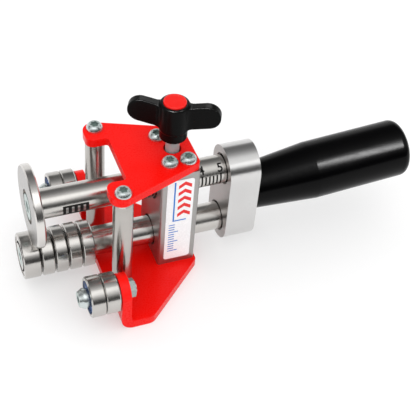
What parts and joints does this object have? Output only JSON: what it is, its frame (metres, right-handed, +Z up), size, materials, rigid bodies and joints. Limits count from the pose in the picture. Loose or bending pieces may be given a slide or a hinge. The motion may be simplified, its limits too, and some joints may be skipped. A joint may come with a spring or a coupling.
{
  "type": "sheet metal hand bender",
  "caption": "Hand-held edge bender for sheet metal: a disc and a row of rollers on sliding shafts, a wing knob that clamps them, side guide bearings and a handle.",
  "frame": {"origin": "underside of the base plate, on the axis of the wing knob", "axes": "+X along the shafts towards the handle, +Y to the far side, +Z up out of the base"},
  "size_m": [0.2128, 0.0974, 0.1012],
  "materials": {
    "red_paint": "signal red powder coat, satin",
    "block_grey": "machined and blasted, satin grey",
    "polished_steel": "ground and polished",
    "label_white": "printed film",
    "zinc_steel": "bright zinc plating",
    "bearing_steel": "ground bearing steel",
    "disc_steel": "turned and lightly brushed",
    "shield_steel": "pressed sheet, dull",
    "cage_blue": "moulded blue nylon",
    "yoke_aluminium": "machined, satin",
    "dark_steel": "black oxide",
    "handle_black": "smooth and glossy",
    "brass": "turned",
    "knob_black": "fine texture, semi-matte",
    "cap_red": "smooth"
  },
  "bodies": {
    "frame": {"base_plate": "red_paint", "top_plate": "red_paint", "guide_block": "block_grey", "near_post": "polished_steel", "far_post": "polished_steel", "label_plate": "label_white", "top_block_screws": "zinc_steel", "top_post_screws": "zinc_steel", "base_block_screws": "zinc_steel", "base_post_screws": "zinc_steel", "guide_bolts": "zinc_steel", "guide_nuts": "zinc_steel", "guide_spacers": "zinc_steel", "guide_inner_rings": "bearing_steel", "guide_balls": "bearing_steel", "guide_cages": "cage_blue"},
    "carriage": {"upper_shaft": "polished_steel", "lower_shaft": "polished_steel", "yoke": "yoke_aluminium", "set_screws": "dark_steel", "handle": "handle_black", "handle_stud": "zinc_steel", "disc_bush": "brass", "disc_screw": "zinc_steel", "roller_retainer": "bearing_steel", "roller_screw": "zinc_steel", "roller_shims": "shield_steel", "roller_inner_rings": "bearing_steel", "roller_balls": "bearing_steel"},
    "disc": {"bending_disc": "disc_steel"},
    "front_roller_1": {"roller_1": "bearing_steel", "roller_shields_1": "shield_steel"},
    "front_roller_2": {"roller_2": "bearing_steel", "roller_shields_2": "shield_steel"},
    "front_roller_3": {"roller_3": "bearing_steel", "roller_shields_3": "shield_steel"},
    "front_roller_4": {"roller_4": "bearing_steel", "roller_shields_4": "shield_steel"},
    "front_roller_5": {"roller_5": "bearing_steel", "roller_shields_5": "shield_steel"},
    "guide_bearing_near_front": {"guide_near_front": "bearing_steel"},
    "guide_bearing_near_back": {"guide_near_back": "bearing_steel"},
    "guide_bearing_far_front": {"guide_far_front": "bearing_steel"},
    "guide_bearing_far_back": {"guide_far_back": "bearing_steel"},
    "pad": {"clamp_pad": "brass"},
    "knob": {"clamp_stud": "zinc_steel", "wing_knob": "knob_black", "knob_cap": "cap_red"}
  },
  "joints": [
    {"name": "depth_slide", "type": "slide", "parent": "frame", "child": "carriage", "axis": [1, 0, 0], "range_m": [-0.0165, 0.0315]},
    {"name": "disc_spin", "type": "hinge", "parent": "carriage", "child": "disc", "pos_m": [-0.07075, 0, 0.051], "axis": [1, 0, 0], "continuous": true},
    {"name": "roller_1_spin", "type": "hinge", "parent": "carriage", "child": "front_roller_1", "pos_m": [-0.07425, 0, 0.0175], "axis": [1, 0, 0], "continuous": true},
    {"name": "roller_2_spin", "type": "hinge", "parent": "carriage", "child": "front_roller_2", "pos_m": [-0.066, 0, 0.0175], "axis": [1, 0, 0], "continuous": true},
    {"name": "roller_3_spin", "type": "hinge", "parent": "carriage", "child": "front_roller_3", "pos_m": [-0.059, 0, 0.0175], "axis": [1, 0, 0], "continuous": true},
    {"name": "roller_4_spin", "type": "hinge", "parent": "carriage", "child": "front_roller_4", "pos_m": [-0.052, 0, 0.0175], "axis": [1, 0, 0], "continuous": true},
    {"name": "roller_5_spin", "type": "hinge", "parent": "carriage", "child": "front_roller_5", "pos_m": [-0.045, 0, 0.0175], "axis": [1, 0, 0], "continuous": true},
    {"name": "guide_near_front_spin", "type": "hinge", "parent": "frame", "child": "guide_bearing_near_front", "pos_m": [-0.0506, -0.0385, 0.0205], "axis": [1, 0, 0], "continuous": true},
    {"name": "guide_near_back_spin", "type": "hinge", "parent": "frame", "child": "guide_bearing_near_back", "pos_m": [-0.0433, -0.0385, 0.0205], "axis": [1, 0, 0], "continuous": true},
    {"name": "guide_far_front_spin", "type": "hinge", "parent": "frame", "child": "guide_bearing_far_front", "pos_m": [-0.0506, 0.0385, 0.0205], "axis": [1, 0, 0], "continuous": true},
    {"name": "guide_far_back_spin", "type": "hinge", "parent": "frame", "child": "guide_bearing_far_back", "pos_m": [-0.0433, 0.0385, 0.0205], "axis": [1, 0, 0], "continuous": true},
    {"name": "pad_lift", "type": "slide", "parent": "frame", "child": "pad", "axis": [0, 0, 1], "range_m": [0, 0.0025]},
    {"name": "knob_turn", "type": "hinge", "parent": "pad", "child": "knob", "pos_m": [0, 0, 0.0795], "axis": [0, 0, 1], "range_deg": [0, 720]}
  ],
  "couplings": [
    {"joint": "pad_lift", "follows": "knob_turn", "m_per_rad": 0.00019894}
  ]
}
